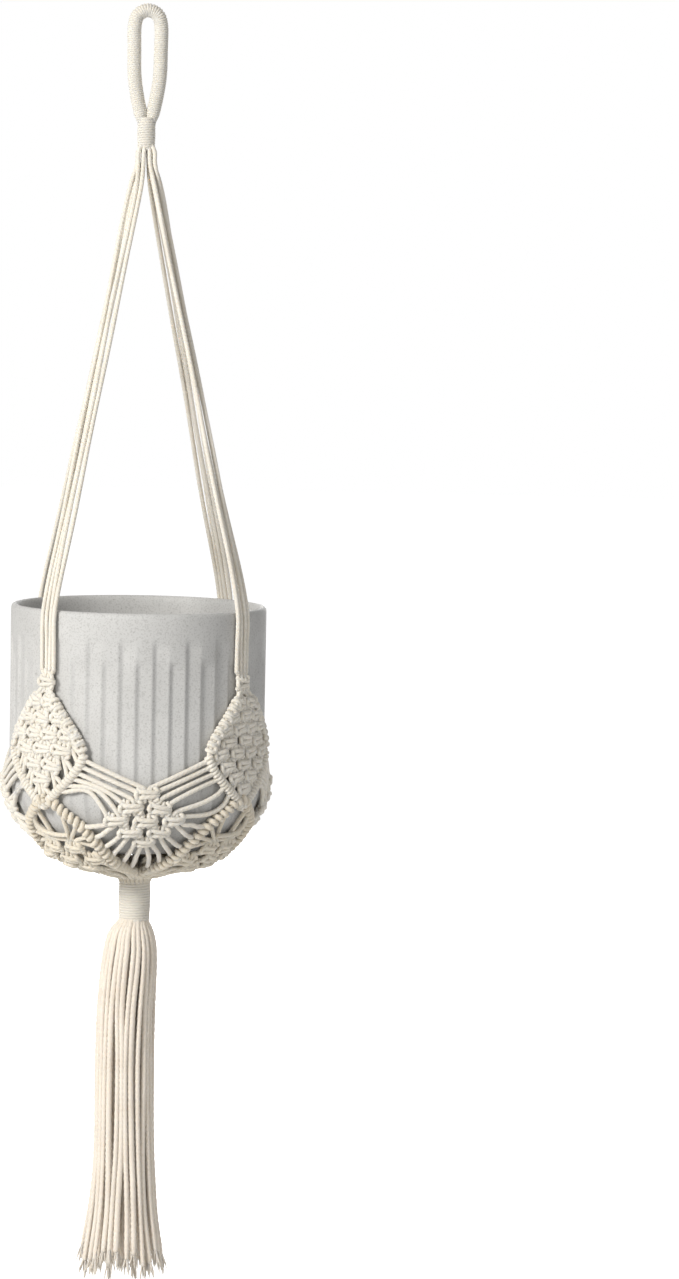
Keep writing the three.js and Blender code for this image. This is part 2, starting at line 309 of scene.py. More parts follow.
class CordMesh:
    """Many cords in one mesh. Each is a closed tube whose plies twist along it."""

    def __init__(self):
        self.verts, self.faces, self.uvs = [], [], []
        self.count = 0

    def cord(self, path, diameter, sides=9, lay=3.2, ply_depth=0.07, ends=(1.0, 1.0)):
        """Lay is a full twist's length in diameters. Ends are the end widths as shares of the diameter."""
        path = np.asarray(path, float)
        _, normals, side = frames_along(path)
        run = run_along(path)
        around = np.linspace(0, 2 * math.pi, sides, endpoint=False)
        twist = run / (lay * diameter)
        lobes = np.cos(PLIES * around[None, :] + 2 * math.pi * twist[:, None] * PLIES)
        taper = np.ones(len(path))
        reach = min(4, len(path) // 3)
        for i in range(reach):
            share = i / reach
            taper[i] *= ends[0] + (1 - ends[0]) * share
            taper[-1 - i] *= ends[1] + (1 - ends[1]) * share
        radius = diameter / 2 * taper[:, None] * (1 - ply_depth + ply_depth * lobes)
        outwards = (np.cos(around)[None, :, None] * normals[:, None, :]
                    + np.sin(around)[None, :, None] * side[:, None, :])
        ring = path[:, None, :] + radius[:, :, None] * outwards
        first = self.count
        self.verts.append(ring.reshape(-1, 3))
        rings = len(path)
        for i in range(rings - 1):
            for j in range(sides):
                k = (j + 1) % sides
                a, b = first + i * sides, first + (i + 1) * sides
                self.faces.append((a + j, a + k, b + k, b + j))
                u0, u1 = j / sides, (j + 1) / sides
                v0, v1 = twist[i] * PLIES, twist[i + 1] * PLIES
                self.uvs.extend(((u0, v0), (u1, v0), (u1, v1), (u0, v1)))
        last = first + (rings - 1) * sides
        self.faces.append(tuple(first + j for j in reversed(range(sides))))
        self.faces.append(tuple(last + j for j in range(sides)))
        self.uvs.extend([(0.5, 0.0)] * sides + [(0.5, twist[-1] * PLIES)] * sides)
        self.count += rings * sides

    def build(self, name, material):
        mesh = bpy.data.meshes.new(name)
        mesh.from_pydata((np.vstack(self.verts) * MM).tolist(), [], self.faces)
        layer = mesh.uv_layers.new(name="cord")
        layer.data.foreach_set("uv", np.asarray(self.uvs, np.float32).ravel())
        mesh.shade_smooth()
        mesh.materials.append(material)
        return placed_object(name, mesh)


def helix(path, radius, pitch, steps_per_turn, phase=0.0):
    """A coil wound round a path. Its radius is a list of values, spread evenly along the path."""
    run = path_length(path)
    turns = run / pitch
    count = max(8, int(turns * steps_per_turn))
    core = even_steps(path, run / count)
    _, normals, side = frames_along(core)
    angle = phase + np.linspace(0, 2 * math.pi * turns, len(core))
    wide = np.interp(np.linspace(0, 1, len(core)), np.linspace(0, 1, len(radius)), radius)[:, None]
    return core + wide * (np.cos(angle)[:, None] * normals + np.sin(angle)[:, None] * side)


def uneven_radius(radius, turns, count, jitter, rng):
    """A coil's radius at each of its steps, a little different from turn to turn."""
    bumps = [1 + jitter * rng.uniform(-1, 1) for _ in range(int(turns) + 2)]
    return radius * np.interp(np.linspace(0, turns, count), np.arange(len(bumps)), bumps)


# ---------------------------------------------------------------- the surface that the net lies on, in mm

POT_RADIUS_MM = 89.5
SHOULDER_Z_MM = -535
SHOULDER_PULL_MM = (86, -560)
FOOT_RADIUS_MM = 56
POT_FLOOR_Z_MM = -577
NET_TOP_Z_MM = -461
NET_FOOT_Z_MM = -602
NET_LIFT = 0.5                     # from the pot's wall to the back of the net
WALL_ABOVE = 60                    # how far the surface goes on above the top of the net
WALL_STEP = 3
TAIL_STEPS = 20                    # from the pot's foot in to the middle of the hub


def curve_to_foot(inset=0.0, drop=0.0, count=24):
    """The pot's curve from wall to foot, set inwards and downwards, as radius and z."""
    t = np.linspace(0, 1, count)[:, None]
    start = np.array([POT_RADIUS_MM - inset, SHOULDER_Z_MM])
    pull = np.array([SHOULDER_PULL_MM[0] - inset, SHOULDER_PULL_MM[1] - drop])
    end = np.array([FOOT_RADIUS_MM - inset, POT_FLOOR_Z_MM - drop])
    return (1 - t) ** 2 * start + 2 * t * (1 - t) * pull + t ** 2 * end


def net_profile():
    """The net's section: distance down it, radius and z, and the direction out from it."""
    heights = range(NET_TOP_Z_MM + WALL_ABOVE, SHOULDER_Z_MM + WALL_STEP, -WALL_STEP)
    wall = [(POT_RADIUS_MM + NET_LIFT, z) for z in heights]
    under = curve_to_foot(-NET_LIFT, NET_LIFT)
    radius, z = under[-1]
    tail = [(radius * (1 - i / TAIL_STEPS), z + (NET_FOOT_Z_MM - z) * i / TAIL_STEPS)
            for i in range(1, TAIL_STEPS + 1)]
    points = np.vstack([wall, under, tail])
    down = run_along(points) - WALL_ABOVE
    slope = np.gradient(points, axis=0)
    slope /= np.linalg.norm(slope, axis=1, keepdims=True)
    return down, points, np.stack([-slope[:, 1], slope[:, 0]], axis=1)


PROFILE_DOWN, PROFILE_POINTS, PROFILE_NORMALS = net_profile()


def net_radius(down):
    return np.interp(down, PROFILE_DOWN, PROFILE_POINTS[:, 0])


def net_place(azimuth, down, out):
    """Points on the net: azimuth in degrees from the front, then distance down it and out from it in mm."""
    azimuth, down, out = (np.asarray(v, float) for v in (azimuth, down, out))
    radius, z = (np.interp(down, PROFILE_DOWN, column) for column in PROFILE_POINTS.T)
    radial, upward = (np.interp(down, PROFILE_DOWN, column) for column in PROFILE_NORMALS.T)
    turn = np.radians(azimuth)
    reach = radius + radial * out
    return np.stack([reach * np.sin(turn), -reach * np.cos(turn), z + upward * out], axis=-1)


def sideways(azimuth, across, down):
    """The azimuth of a place that lies so many mm to the side of another azimuth."""
    return azimuth + np.degrees(np.asarray(across, float) / np.maximum(net_radius(down), 12))


def polar(radius, azimuth, z):
    return np.array([radius * math.sin(math.radians(azimuth)), -radius * math.cos(math.radians(azimuth)), z])


# ---------------------------------------------------------------- layout shared with the CAD, in mm

CORD_MM = 3.3
KNOT_CORD_MM = 3.45                # a cord flattens and widens where it is knotted
PANEL_CORD_MM = 3.65
STRAP_AZIMUTHS = {"front_left": -42, "front_right": 51, "back_right": 138, "back_left": 227}
BETWEEN = ("front", "right", "back", "left")
WALL_CORD_RADIUS = POT_RADIUS_MM + 0.8 + CORD_MM / 2
SQUARE_LAY = [(0, -2.55), (-2.55, 0), (2.55, 0), (0, 2.55)]
BAND_LAY = [(1.15, -4), (-1.15, -1.34), (1.15, 1.34), (-1.15, 4)]
FLAT_LAY = [(0, -5.3), (0, -1.77), (0, 1.77), (0, 5.3)]
STRAP_ROUTE = [
    (-92.6, 5.1, SQUARE_LAY),
    (-100, 5.5, SQUARE_LAY),
    (-116, 9.9, BAND_LAY),
    (-200, 33.5, BAND_LAY),
    (-330, 70, [(0.9, -4.6), (-0.9, -1.55), (0.9, 1.55), (-0.9, 4.6)]),
    (-392, 88, [(0.2, -5.2), (-0.5, -1.75), (0.5, 1.75), (-0.2, 5.2)]),
    (-412, WALL_CORD_RADIUS, FLAT_LAY),
    (-430, WALL_CORD_RADIUS, FLAT_LAY),
    (-449.8, WALL_CORD_RADIUS, FLAT_LAY),
]
COLLAR_LAY = [(0, -1.6), (-1.4, 0), (1.4, 0), (0, 1.6)]
STRAP_TUCK = (-87, 2.6, COLLAR_LAY)            # where the cords disappear inside the upper gathering

UPPER_COLLAR = {"radius": 6.25, "top": -69.6, "bottom": -91.8, "wire": 2.5, "pitch": 1.7, "bulge": 0.5}
LOWER_COLLAR = {"radius": 11.2, "top": -599.5, "bottom": -630.4, "wire": 2.7, "pitch": 1.9, "bulge": 0.6}
COLLAR_STEP = 1.5
EYE_CORE = 7.6
EYE_WIRE = 2.4                     # the thin cord wound round the eye
EYE_PITCH = 1.5
EYE_LIMB = [(7.4, 1), (9.1, -5), (9.2, -22), (8.8, -40), (7.2, -52), (5.4, -61), (4.0, -67), (2.6, -73),
            (2.2, -79)]

AZIMUTHS = list(STRAP_AZIMUTHS.values())
ALL_ROUND = [*AZIMUTHS, AZIMUTHS[0] + 360]
FAN_AZIMUTHS = [(near + far) / 2 for near, far in zip(ALL_ROUND, ALL_ROUND[1:])]

# ---------------------------------------------------------------- wrapped eye and gatherings


def wrapped_eye():
    """The hanging loop: a core bundle closely wrapped with thin cord, whose limbs enter the gathering."""
    left = [(-x, 0, z) for x, z in reversed(EYE_LIMB)]
    right = [(x, 0, z) for x, z in EYE_LIMB]
    path = smooth_path(left + [(-3.6, 0, 4.2), (0, 0, 5), (3.6, 0, 4.2)] + right, 1.0)
    thickness = np.interp(path[:, 2], [-79, -73, -66], [3.0, 3.6, 5.0])
    mesh = CordMesh()
    mesh.cord(path, EYE_CORE, sides=14, ply_depth=0.0, ends=(0.7, 0.7))
    mesh.cord(helix(path, thickness - EYE_WIRE / 2, EYE_PITCH, 18), EYE_WIRE, sides=7, ply_depth=0.0)
    eye = mesh.build("hanging_eye", WRAP)
    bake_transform(eye)
    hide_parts("hanging_loop")


def wrapped_collar(name, node, body, radius, top, bottom, wire, pitch, bulge):
    """A gathering: thin cord wound in close turns round a core, a little fuller in the middle."""
    count = int((top - bottom) / COLLAR_STEP)
    share = np.linspace(0, 1, count)
    path = np.stack([np.zeros(count), np.zeros(count), top + (bottom - top) * share], axis=1)
    swell = radius - wire / 2 + bulge * np.sin(math.pi * share) - 0.5 * bulge
    mesh = CordMesh()
    mesh.cord(path, 2 * (radius - wire * 0.8), sides=20, ply_depth=0.0)
    mesh.cord(helix(path, swell, pitch, 32), wire, sides=7, ply_depth=0.02)
    collar = mesh.build(name, WRAP)
    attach(collar, body)
    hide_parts(node)


# ---------------------------------------------------------------- straps


def strap_point(azimuth, station, cord):
    """Where one cord passes a station of its strap's route: z, radius, and the four cords' offsets."""
    z, radius, lay = station
    outwards, aside = lay[cord]
    turn = math.radians(azimuth)
    sideward = np.array([math.cos(turn), math.sin(turn), 0])
    return polar(radius + outwards, azimuth, z) + aside * sideward


def strap_cord(side, azimuth, cord):
    """One taut cord, a little wavy between its ends."""
    points = [strap_point(azimuth, station, cord) for station in [STRAP_TUCK, *STRAP_ROUTE]]
    path = smooth_path(points, 1.4)
    phase = 2.1 * cord + azimuth
    run = np.linspace(0, path_length(path), len(path))
    path[:, 0] += 0.3 * np.sin(run / 23 + phase) * np.minimum(1, run / 40)
    path[:, 1] += 0.3 * np.sin(run / 31 + 2 * phase) * np.clip((330 - run) / 40, 0, 1)
    mesh = CordMesh()
    mesh.cord(path, CORD_MM, sides=12, lay=3.0, ply_depth=0.06)
    piece = mesh.build(f"strap_{side}_{cord + 1}", COTTON)
    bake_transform(piece)
    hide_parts(f"strap_{side}_cord_{cord + 1}")


# ---------------------------------------------------------------- square knots

# One square knot: how each of its four cords runs, as mm across, down and out from its middle.
KNOT_PATHS = {
    "left": [(-3.0, -4.6, 2.1), (-5.0, -3.3, 2.6), (-3.5, -2.2, 4.2), (0, -1.6, 4.9), (3.2, -1.2, 4.4),
             (5.2, -0.7, 3.1), (5.6, 0, 2.3), (5.2, 0.7, 3.1), (3.2, 1.2, 4.2), (0, 1.55, 4.6),
             (-3.5, 2.1, 4.1), (-5.0, 3.3, 2.6), (-3.0, 4.6, 2.1)],
    "core_left": [(-1.4, -4.8, 2.2), (-1.7, -3.0, 3.2), (-2.2, 0, 3.3), (-1.7, 3.0, 3.2), (-1.4, 4.8, 2.2)],
    "core_right": [(1.4, -4.8, 2.2), (1.5, -3.0, 3.2), (1.2, 0, 3.2), (1.5, 3.0, 3.2), (1.4, 4.8, 2.2)],
    "right": [(3.0, -4.6, 2.2), (5.0, -3.0, 4.0), (3.6, -1.2, 1.9), (0, -1.0, 1.6), (-3.2, -1.5, 1.7),
              (-4.9, -2.0, 3.7), (-5.7, -1.1, 4.3), (-5.8, 0, 4.2), (-5.7, 1.1, 4.3), (-4.9, 2.0, 3.7),
              (-3.2, 1.5, 1.7), (0, 1.0, 1.6), (3.6, 1.2, 1.9), (5.0, 3.0, 4.0), (3.0, 4.6, 2.2)],
}
ROLES = ("left", "core_left", "core_right", "right")
KNOT_WIDTH = 13.6                  # in mm at a scale of 1: a row of closer knots has narrower ones


def knot_path(role, across, down, size, tilt=0.0):
    """A cord's run through one knot. Size is its scale across and down, and tilt its turn in radians."""
    points = []
    for x, y, out in KNOT_PATHS[role]:
        x, y = x * size[0], y * size[1]
        points.append((across + x * math.cos(tilt) - y * math.sin(tilt),
                       down + x * math.sin(tilt) + y * math.cos(tilt), out))
    return points


def place_on_net(azimuth, points):
    """Where points lie that are given as mm across, down and out from an azimuth on the net."""
    points = np.array(points, float)
    return net_place(sideways(azimuth, points[:, 0], points[:, 1]), points[:, 1], points[:, 2])


def run_on_net(mesh, azimuth, points, diameter=KNOT_CORD_MM, **options):
    """Lays a cord on the net through points given as mm across, down and out."""
    mesh.cord(smooth_path(place_on_net(azimuth, points), 1.25), diameter, **options)


def knot_rows(lane_count, rows, size, rng, lean=0.0, unevenness=1.0):
    """For each cord, its run through each knot it passes. A row is its distance down, count and pitch."""
    lanes = [[] for _ in range(lane_count)]
    for down, count, pitch in rows:
        first = (lane_count - 4 * count) // 2
        for knot in range(count):
            across = (knot - (count - 1) / 2) * pitch + unevenness * rng.uniform(-0.6, 0.6)
            below = down + unevenness * rng.uniform(-0.5, 0.5)
            tilt = lean + unevenness * rng.uniform(-0.13, 0.13)
            grow = [share * (1 + unevenness * rng.uniform(-0.05, 0.06)) for share in size]
            grow[0] *= min(1, pitch / (KNOT_WIDTH * size[0]))
            for place, role in enumerate(ROLES):
                lanes[first + 4 * knot + place].append(knot_path(role, across, below, grow, tilt))
    return lanes


def sag(down):
    """How far the loose netting hangs off the pot's foot."""
    return 5.5 * math.exp(-((down - 134) / 24) ** 2)


def along(path, share):
    """The point that lies that share of the way along a path."""
    run = run_along(path)
    return np.array([np.interp(share * run[-1], run, path[:, k]) for k in range(path.shape[1])])


def knotted_piece(mesh, name, node, material=COTTON):
    """Knotted work that moves with the sling and stands for a CAD node."""
    piece = mesh.build(name, material)
    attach(piece, "sling")
    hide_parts(node)


# ---------------------------------------------------------------- upper panels: a diamond of square knots

STRAP_KNOT_DOWN = -4.0
UPPER_LANES = 16                   # cords side by side in a panel
UPPER_ROWS = {                     # distance down, number of knots and their pitch
    "open": [(10.4, 2, 11.2), (21.4, 3, 13.2), (32.2, 4, 14.6), (43, 3, 16.6), (53, 2, 17), (62.5, 1, 17)],
    "dense": [(9.8, 2, 10.8), (18.6, 3, 12), (27.2, 4, 12.8), (35.8, 3, 15.2), (44.2, 4, 14.8),
              (52.6, 3, 15.8), (60.8, 2, 15.6), (69, 1, 16)],
}
UPPER_KNOT_SIZE = {"open": (1.17, 1.14), "dense": (1.06, 0.96)}
PANEL_STYLE = {"front_left": "open", "front_right": "dense", "back_right": "open", "back_left": "dense"}
# How far the knots are turned, in radians, and how far the panel hangs to the side of its strap, in mm.
PANEL_LEAN = {"front_left": 0.04, "front_right": -0.16, "back_right": 0.05, "back_left": -0.1}
PANEL_SHIFT = {"front_left": -3.2, "front_right": 3.2, "back_right": -2.2, "back_left": 2.2}
LEAD = [(1.6, -1.5, 2.2), (4.2, 1.4, 3.0), (7.4, 5.6, 3.0), (15.2, 16.4, 3.0), (23.9, 27.5, 3.0),
        (30.0, 36.8, 3.0), (32.8, 45, 2.9), (30.4, 51.8, 2.9), (23.6, 60.8, 2.9), (12.5, 71.5, 2.9),
        (0, 82, 2.9)]
BAR_FROM = (32.7, 44.8)            # across and down, at the panel's corner
BAR_COIL = {"radius": 2.1, "pitch": 2.75, "diameter": 3.15, "jitter": 0.05}
# Places of the larks' heads along a lead: those that start the panel's cords, and more whose ends lie under
# the knots.
LARK_SHARES = (0.143, 0.262, 0.375)
EDGE_SHARES = (0.202, 0.32, 0.425, 0.475)
LARK_SIZE = 0.84
LARK_HEAD = [(-1.75, 5.4, 2.3), (-1.75, 2.6, 1.9), (-1.75, 0.2, 1.1), (-1.9, -2.2, 1.6), (-2.5, -2.5, 3.4),
             (-2.8, -0.4, 5.0), (-2.4, 1.9, 5.0), (0, 3.1, 4.8), (2.4, 1.9, 5.0), (2.8, -0.4, 5.0),
             (2.5, -2.5, 3.4), (1.9, -2.2, 1.6), (1.75, 0.2, 1.1), (1.75, 2.6, 1.9), (1.75, 5.4, 2.3)]


def lead_path(flip):
    """The cord round one side of a panel, from its strap's knot to its foot, as mm across, down and out."""
    return smooth_path([(flip * x, y, w) for x, y, w in LEAD], 0.8)


def bar_path(flip):
    """The lower part of a lead, which the panel's cords are hitched round."""
    path = lead_path(flip)
    first = int(np.argmin(np.hypot(np.abs(path[:, 0]) - BAR_FROM[0], path[:, 1] - BAR_FROM[1])))
    return path[first:]


def lark_head(mesh, azimuth, lead, share):
    """A folded cord looped over the lead: two legs over it and a cross bar below them."""
    centre, ahead = along(lead, share), along(lead, share + 0.01) - along(lead, share - 0.01)
    u = ahead[:2] / np.linalg.norm(ahead[:2])
    v = np.array([-u[1], u[0]])
    if v[0] * centre[0] > 0:
        v = -v
    points = [(*(centre[:2] + LARK_SIZE * (u * a + v * b)), w) for a, b, w in LARK_HEAD]
    run_on_net(mesh, azimuth, points)
    return points[0], points[-1]


def hitched_bar(mesh, azimuth, path, rng, radius, pitch, diameter, jitter):
    """Hitches side by side: a cord coiled round a lead that lies on the net."""
    core = even_steps(place_on_net(azimuth, path), 0.6)
    wide = uneven_radius(radius, path_length(core) / pitch, len(core), jitter, rng)
    mesh.cord(helix(core, wide, pitch, 14, rng.uniform(0, 6)), diameter, sides=8)


def side_and_rank(lane, lane_count):
    """Which half of the work a cord is in, -1 or 1, and its place there, counted from the outside."""
    if lane >= lane_count // 2:
        return 1, lane_count - 1 - lane
    return -1, lane


def panel_azimuth(side):
    """The upper panels hang a little to the side of their straps."""
    return float(sideways(STRAP_AZIMUTHS[side], PANEL_SHIFT[side], 20))


def upper_panel(side, rng):
    """A diamond of square knots. Its middle four cords are the strap's, the others start at larks' heads."""
    mesh = CordMesh()
    azimuth, shift = panel_azimuth(side), PANEL_SHIFT[side]
    style = PANEL_STYLE[side]
    lanes = knot_rows(UPPER_LANES, UPPER_ROWS[style], UPPER_KNOT_SIZE[style], rng, PANEL_LEAN[side], 1.4)
    half = UPPER_LANES // 2
    starts = {half - 2 + i: (x - shift, 0.5, 2.3) for i, x in enumerate((-3.0, -1.0, 1.0, 3.0))}
    for flip in (-1, 1):
        lead = lead_path(flip)
        fade = np.clip(1 - (lead[:, 1] + 1.5) / 9, 0, 1)
        placed = lead + np.stack([-shift * fade, 0 * fade, 0 * fade], axis=1)
        run_on_net(mesh, azimuth, placed[::4])
        for i, share in enumerate(LARK_SHARES):
            near, far = lark_head(mesh, azimuth, lead, share)
            inner, outer = (near, far) if abs(near[0]) < abs(far[0]) else (far, near)
            first = half + 2 + 2 * i if flip > 0 else half - 3 - 2 * i
            second = first + flip
            starts[first] = inner
            starts[second] = outer
        for share in EDGE_SHARES:
            lark_head(mesh, azimuth, lead, share)
        hitched_bar(mesh, azimuth, bar_path(flip), rng, **BAR_COIL)
    bars = {flip: bar_path(flip) for flip in (-1, 1)}
    for lane, passes in enumerate(lanes):
        points = [starts[lane]]
        for run in passes:
            points += run
        flip, rank = side_and_rank(lane, UPPER_LANES)
        end = along(bars[flip], (rank + 0.5) / half)
        points.append((end[0], end[1] - 1.5, 2.4))
        points.append(tuple(end))
        run_on_net(mesh, azimuth, points, PANEL_CORD_MM)
    knotted_piece(mesh, f"knotted_panel_{side}", f"panel_{side}")


def strap_knot(side, azimuth):
    """The square knot that ties a strap's four cords where they meet the panel."""
    mesh = CordMesh()
    for cord, role in enumerate(ROLES):
        aside = FLAT_LAY[cord][1]
        points = [(aside, -13.0, 1.95), (aside * 0.85, -10.8, 2.1)]
        points += knot_path(role, 0, STRAP_KNOT_DOWN, (1.05, 1.1))
        points += [(points[-1][0], 3.5, 2.2)]
        run_on_net(mesh, azimuth, points, CORD_MM, sides=10)
    knotted_piece(mesh, f"strap_end_knot_{side}", f"strap_knot_{side}")


# ---------------------------------------------------------------- lower panels, links and the fan below them

LOWER_LANES = 12                   # cords side by side in a lower panel, and in a netting
LOWER_ROWS = [(70.2, 1, 19), (79.2, 2, 19), (88.2, 3, 19.5), (97.6, 2, 19), (107, 1, 19)]
LOWER_KNOT_SIZE = (1.24, 0.98)
LOWER_ENDS = (0.24, 0.35, 0.45, 0.57, 0.70, 0.85)      # where along the V line the fanned cords end
HITCH_LINE = [(0, 76.5), (0.08, 78), (0.16, 83), (0.26, 88.5), (0.35, 94.5), (0.41, 101.5), (0.47, 109),
              (0.54, 119), (0.63, 132), (0.77, 150), (1.0, 167)]      # share of the way round, and down


def hitch_line(upper, lower):
    """The V of hitches from an upper panel's foot to below a lower panel, as azimuth, down and out."""
    points = [(upper + (lower - upper) * share, down, 3.2 + 0.5 * sag(down)) for share, down in HITCH_LINE]
    return smooth_path(points, 0.6)


def lower_panel(name, azimuth, left, right, rng):
    """A small diamond of square knots, its cords fanned out from its lower edges to the V line below."""
    mesh = CordMesh()
    lanes = knot_rows(LOWER_LANES, LOWER_ROWS, LOWER_KNOT_SIZE, rng)
    lines = {-1: hitch_line(left, azimuth), 1: hitch_line(right, azimuth)}
    for lane, passes in enumerate(lanes):
        points = [point for run in passes for point in run]
        flip, rank = side_and_rank(lane, LOWER_LANES)
        if rank % 2 == 0:
            points.pop()
        placed = place_on_net(azimuth, points)
        end = along(lines[flip], LOWER_ENDS[rank])
        across, down = points[-1][:2]
        near = sideways(azimuth, across, down)
        fan = []
        for share in (0.3, 0.62, 0.86, 1.0):
            lift = 2.2 + 2.1 * math.sin(math.pi * share)
            bend = rng.uniform(-1.2, 1.2) * math.sin(math.pi * share)
            aside = near + (end[0] - near) * share + bend
            fan.append(net_place(aside, down + (end[1] - down) * share ** 1.1, lift))
        mesh.cord(smooth_path(np.vstack([placed, fan]), 1.25), PANEL_CORD_MM)
    knotted_piece(mesh, f"knotted_fan_{name}", f"panel_{name}")


LINK_CORD_MM = 3.55
# Six links from a panel's corner down: their places along the bar, and where they enter the lower panel.
LINK_SHARES = (0.05, 0.15, 0.26, 0.37, 0.50, 0.64)
LINK_ENDS = [(1.6, 66.0, 2.9), (6.6, 68.4, 3.2), (9.4, 73.2, 3.0), (15.6, 76.4, 3.2), (19.2, 82.2, 3.0),
             (25.6, 85.6, 3.2)]
# How each link leaves a straight line: how far it bows upwards in mm, and where: near the bar for a number
# below 1, near the lower panel above 1.
LINK_STYLE = {
    ("front_left", "front"): [(0, 1), (0, 1), (0.5, 1), (3, 1.3), (7.5, 1.4), (10.5, 1.5)],
    ("front_right", "front"): [(0, 1), (0, 1), (0.7, 1), (1, 1), (-4, 0.55), (-8.5, 0.6)],
    ("front_right", "right"): [(0, 1), (0, 1), (0.3, 1), (2.5, 1.2), (6, 1.3), (9, 1.5)],
    ("back_right", "right"): [(0, 1), (0, 1), (0.3, 1), (-1.5, 0.8), (-5, 0.6), (6, 1.2)],
    ("back_right", "back"): [(0, 1), (0.2, 1), (0.6, 1), (2, 1), (6, 1.4), (9.5, 1.4)],
    ("back_left", "back"): [(0, 1), (0, 1), (0.4, 1), (-1, 0.7), (-3, 0.6), (-7.5, 0.7)],
    ("back_left", "left"): [(0, 1), (0.3, 1), (0.3, 1), (2.5, 1), (6.5, 1.4), (9.5, 1.5)],
    ("front_left", "left"): [(0, 1), (0, 1), (0.4, 1), (1, 1), (-3, 0.7), (5, 1)],
}


def link_group(side, upper, name, lower):
    """Six cords from the hitched bar of an upper panel to the knots of the lower panel beside it."""
    flip = 1 if lower > upper else -1
    bar = bar_path(flip)
    mesh = CordMesh()
    for j, (bow, skew) in enumerate(LINK_STYLE[side, name]):
        start = along(bar, LINK_SHARES[j])
        entry = (-flip * LINK_ENDS[j][0], *LINK_ENDS[j][1:])
        leave = sideways(upper, start[0], start[1])
        arrive = sideways(lower, entry[0], entry[1])
        points = [net_place(leave, start[1], start[2])]
        for share in np.linspace(0.1, 0.94, 9):
            rise = bow * math.sin(math.pi * share ** skew)
            out = 1.75 + 0.9 * abs(2 * share - 1) ** 3
            down = start[1] + (entry[1] - start[1]) * share - rise
            points.append(net_place(leave + (arrive - leave) * share, down, out))
        points.append(net_place(arrive, entry[1] + 0.4, entry[2]))
        points.append(net_place(arrive + 0.8 * flip, entry[1] + 2.6, entry[2]))
        mesh.cord(smooth_path(points, 1.4), LINK_CORD_MM, sides=10)
    knotted_piece(mesh, f"links_{side}_{name}", f"links_{side}_to_{name}")


# ---------------------------------------------------------------- netting under the pot

GORE_ROWS = [(114, 2, 19), (124, 3, 20), (134, 2, 19), (143.5, 1, 19)]
GORE_KNOT_SIZE = (1.15, 1.05)
GORE_STARTS = (0.66, 0.54, 0.43, 0.32, 0.21, 0.1)      # where along the V line the netting's cords start
HUB_DOWN = 152
HUB_LANE_TURN = 7.6                # degrees between two cords that enter the hub
HITCH_PITCH = 4.7
HITCH_CORD_MM = 3.9
HITCH_RADIUS = 2.35
HITCH_JITTER = 0.12
BACKING_COUNT = 30
BACKING_CORD_MM = 4.6
BACKING_ROUTE = [(44, -581.5), (30, -586), (19, -592), (10, -599), (6, -606)]      # radius and z
# The loop at an upper panel's foot: mm across and down.
FOOT_LOOP = [(0, 78), (4.6, 78.5), (12, 83), (18, 91), (19.5, 99), (14.9, 105), (6.5, 107.5), (-4, 108),
             (-12, 107)]


def gore(side, upper, lower_left, lower_right, rng):
    """Loose netting between two V lines, and the hitches of those lines."""
    mesh = CordMesh()
    lines = {-1: hitch_line(upper, lower_left), 1: hitch_line(upper, lower_right)}
    for flip in (-1, 1):
        placed = net_place(*lines[flip].T)
        core = even_steps(placed, 0.7)
        mesh.cord(core[::2], KNOT_CORD_MM)
        turns = int(path_length(core) / HITCH_PITCH)
        wide = uneven_radius(HITCH_RADIUS, turns, len(core), HITCH_JITTER, rng)
        mesh.cord(helix(core, wide, HITCH_PITCH, 14, rng.uniform(0, 6)), HITCH_CORD_MM, sides=9)
    turn = 1 if side in ("front_right", "back_right") else -1
    for lift, shrink in ((0, 1.0), (0.8, 0.84)):
        loop = [(turn * x * shrink, 78 + (y - 78) * shrink, 2.4 + lift + 0.6 * sag(y)) for x, y in FOOT_LOOP]
        run_on_net(mesh, upper, loop)
    lanes = knot_rows(LOWER_LANES, GORE_ROWS, GORE_KNOT_SIZE, rng, unevenness=1.6)
    for lane, passes in enumerate(lanes):
        flip, rank = side_and_rank(lane, LOWER_LANES)
        start = along(lines[flip], GORE_STARTS[rank])
        points = [start]
        for x, y, out in (point for run in passes for point in run):
            points.append((sideways(upper, x, y), y, out + sag(y)))
        points.append((hub_azimuth(upper, lane), HUB_DOWN, hub_out(lane) + sag(HUB_DOWN)))
        placed = net_place(*np.array(points, float).T)
        mesh.cord(smooth_path(placed, 1.3), KNOT_CORD_MM)
    # painted shade: this netting uses the darker, warmer cotton that stands for the shadow under the pot
    knotted_piece(mesh, f"netting_{side}", f"net_{side}", NETTING_PAINTED_SHADE)


def hub_azimuth(upper, lane):
    return upper + (lane - (LOWER_LANES - 1) / 2) * HUB_LANE_TURN


def hub_out(lane):
    """The cords enter the hub in two layers."""
    return 1.8 if lane % 2 else 4.0


def hub():
    """The cords of all four nettings drawn together into the lower gathering, and a layer that backs them."""
    mesh = CordMesh()
    for upper in AZIMUTHS:
        for lane in range(LOWER_LANES):
            azimuth, out = hub_azimuth(upper, lane), hub_out(lane)
            points = [net_place(azimuth, down, out + sag(down)) for down in (HUB_DOWN - 1.5, 158, 166, 173)]
            inner = 2.6 if lane % 2 else 0
            points.append(polar(12.2 - inner, azimuth, LOWER_COLLAR["top"] - 0.5 * inner))
            points.append(polar(9.6 - inner, azimuth, -604))
            points.append(polar(8.6 - inner, azimuth, -609))
            mesh.cord(smooth_path(points, 1.3), KNOT_CORD_MM)
    for i in range(BACKING_COUNT):
        points = [polar(radius, 360 / BACKING_COUNT * i, z) for radius, z in BACKING_ROUTE]
        mesh.cord(smooth_path(points, 2.5), BACKING_CORD_MM, sides=8)
    # painted shade: the hub cords use the darker, warmer cotton that stands for the shadow under the pot
    piece = mesh.build("net_hub_cords", NETTING_PAINTED_SHADE)
    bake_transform(piece)
    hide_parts("net_hub")


# ---------------------------------------------------------------- tassel

